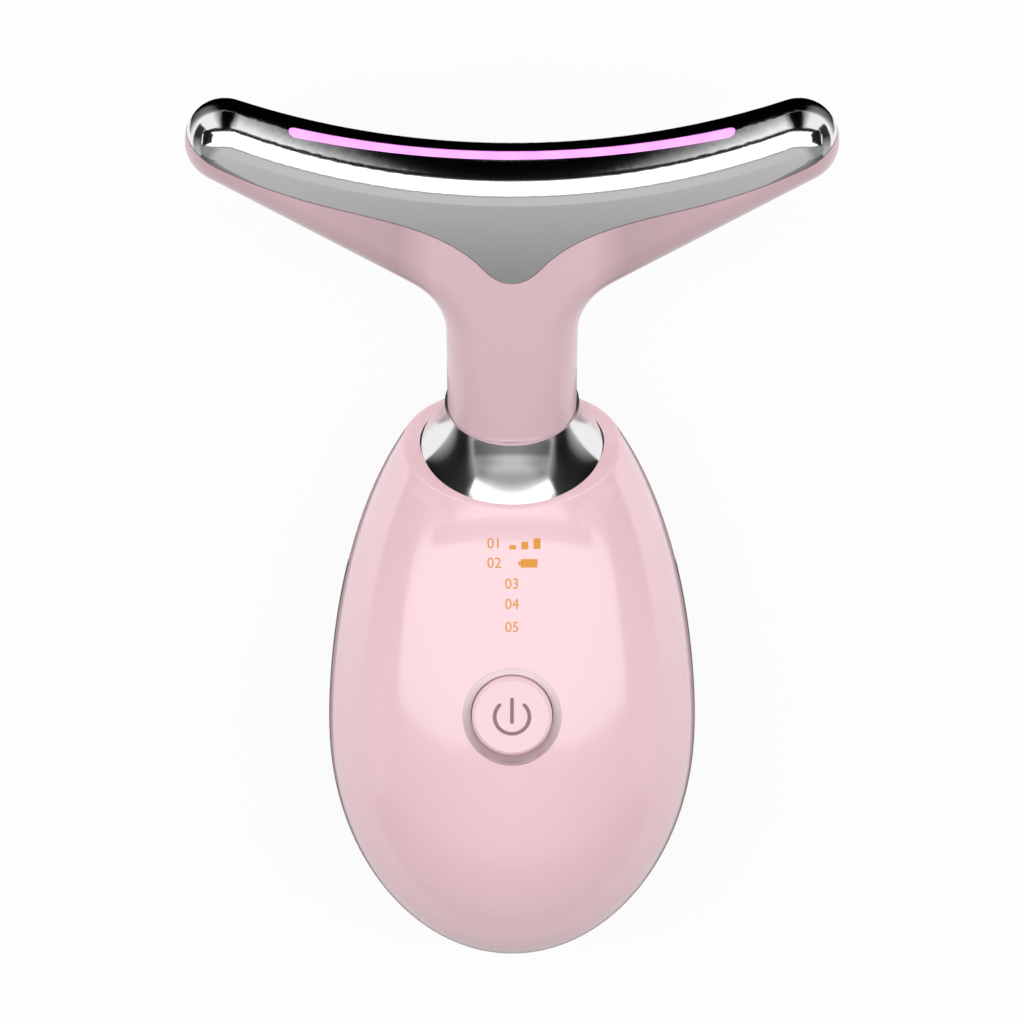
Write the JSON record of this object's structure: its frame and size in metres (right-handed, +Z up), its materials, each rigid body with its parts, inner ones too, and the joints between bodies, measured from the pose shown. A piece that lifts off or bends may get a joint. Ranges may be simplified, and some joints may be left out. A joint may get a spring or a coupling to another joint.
{
  "type": "face massager",
  "caption": "Handheld face massager: egg-shaped body with a sprung power button, a chrome collar and a leaning T-shaped head with a curved chrome plate and a light strip",
  "frame": {"origin": "centre of the flat rest land on the back of the body, where the massager lies on a table", "axes": "+X across the width, +Y along the body towards the massage head, +Z up through the power button"},
  "size_m": [0.088, 0.1289, 0.0518],
  "materials": {
    "pink_plastic": "smooth gloss",
    "neck_plastic": "smooth satin gloss",
    "button_plastic": "smooth satin",
    "plated_plastic": "mirror chrome plating",
    "contact_strip": "polished",
    "light_lens": "translucent, lit",
    "light_board_resin": "matt",
    "light_chip": "gloss",
    "heater_foil": "satin film",
    "sensor_bead": "matt",
    "board_resin": "matt lacquer",
    "switch_plastic": "matt",
    "plunger_plastic": "matt",
    "amber_light": "gloss",
    "guide_plastic": "matt",
    "connector_plastic": "matt",
    "cell_foil": "satin foil",
    "foam_pad": "matt foam",
    "steel": "brushed",
    "weight_metal": "satin",
    "sleeve_rubber": "matt",
    "wire_jacket": "satin"
  },
  "bodies": {
    "housing": {"front_shell": "pink_plastic", "rear_shell": "pink_plastic", "side_contact_left": "contact_strip", "side_contact_right": "contact_strip", "neck_collar": "plated_plastic", "head_shell": "neck_plastic", "massage_plate": "plated_plastic", "light_strip_lens": "light_lens", "light_board": "light_board_resin", "light_chips": "light_chip", "heater_film": "heater_foil", "temperature_sensor": "sensor_bead", "switch_housing": "switch_plastic", "main_board": "board_resin", "indicator_lights": "amber_light", "indicator_light_guide": "guide_plastic", "board_connectors": "connector_plastic", "battery": "cell_foil", "battery_pad": "foam_pad", "charge_board": "board_resin", "charging_socket": "steel", "shell_screws": "steel", "board_screws": "steel", "motor_can": "steel", "motor_end_cap": "switch_plastic", "motor_sleeve": "sleeve_rubber", "head_harness": "wire_jacket", "motor_leads": "wire_jacket", "battery_leads": "wire_jacket"},
    "button": {"power_button": "button_plastic"},
    "plunger": {"switch_plunger": "plunger_plastic"},
    "rotor": {"motor_shaft": "steel", "motor_armature": "steel", "eccentric_weight": "weight_metal"}
  },
  "joints": [
    {"name": "button_slide", "type": "slide", "parent": "housing", "child": "button", "axis": [0, 0, -1], "range_m": [0, 0.0004], "stiffness_N_per_m": 2500, "springref_m": -0.0002},
    {"name": "plunger_slide", "type": "slide", "parent": "housing", "child": "plunger", "axis": [0, 0, -1], "range_m": [0, 0.0004]},
    {"name": "rotor_spin", "type": "hinge", "parent": "housing", "child": "rotor", "pos_m": [0, 0.0419, 0.018], "axis": [0, 0.8572, 0.515], "continuous": true}
  ],
  "couplings": [
    {"joint": "plunger_slide", "follows": "button_slide", "ratio": 1}
  ]
}
